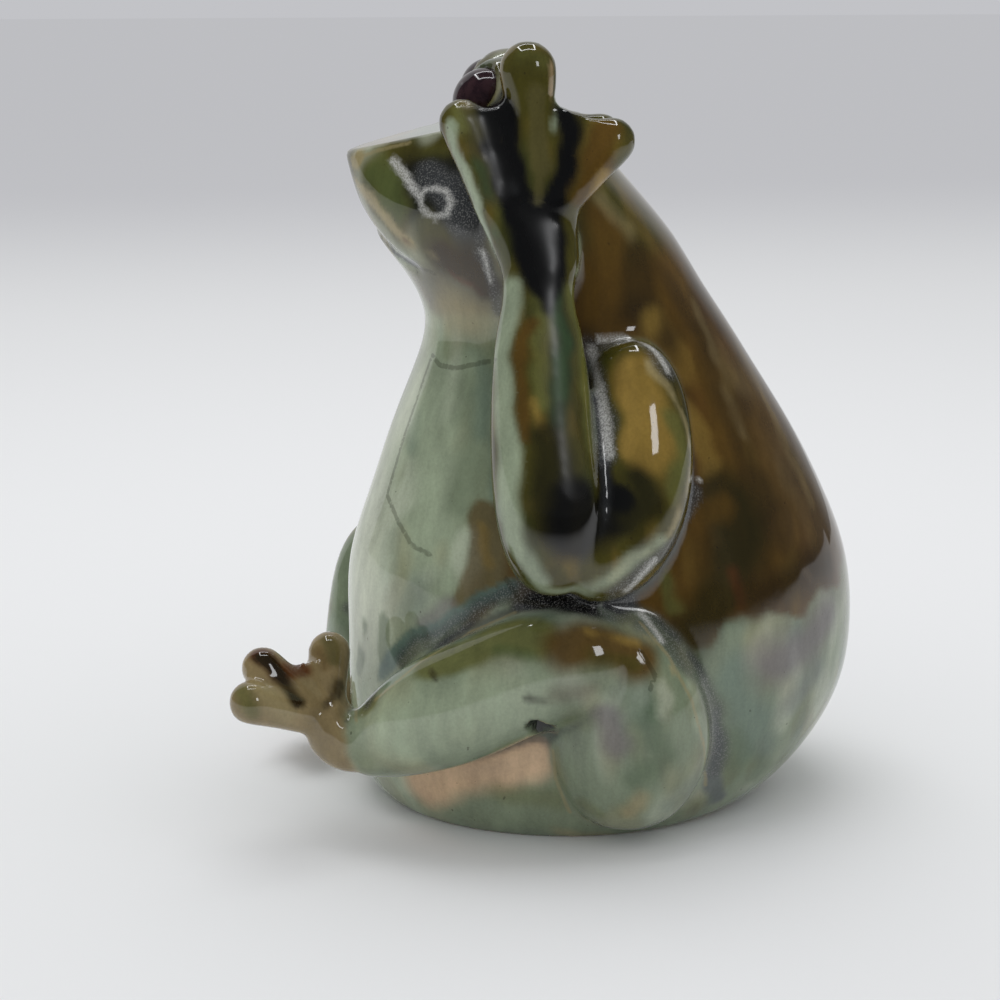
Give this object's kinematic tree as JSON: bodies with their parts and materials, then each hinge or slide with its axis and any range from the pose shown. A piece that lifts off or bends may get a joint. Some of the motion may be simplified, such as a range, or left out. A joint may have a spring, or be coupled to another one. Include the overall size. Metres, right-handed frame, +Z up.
{
  "type": "frog figurine",
  "caption": "Seated glazed ceramic frog holding its hands to the sides of its head, legs and feet in front, for a shelf or garden table",
  "frame": {"origin": "middle of the footprint, on the surface that the frog sits on", "axes": "+Z up, the frog faces -Y, its left side is +X"},
  "size_m": [0.0761, 0.0951, 0.1117],
  "materials": {
    "body_glaze": "gloss drip glaze, brown back and pale celadon belly",
    "head_glaze": "gloss drip glaze, olive and tan",
    "eye_glaze": "gloss plum glaze",
    "arm_glaze": "gloss drip glaze, ochre and dark green",
    "hand_glaze": "gloss drip glaze, olive with black pooled between the fingers",
    "leg_glaze": "gloss drip glaze, celadon grey-green",
    "foot_glaze": "gloss drip glaze, tan and khaki"
  },
  "bodies": {
    "root": {"torso": "body_glaze", "head": "head_glaze", "left_eye": "eye_glaze", "right_eye": "eye_glaze", "left_arm": "arm_glaze", "right_arm": "arm_glaze", "left_hand": "hand_glaze", "right_hand": "hand_glaze", "left_leg": "leg_glaze", "right_leg": "leg_glaze", "left_foot": "foot_glaze", "right_foot": "foot_glaze"}
  },
  "joints": []
}
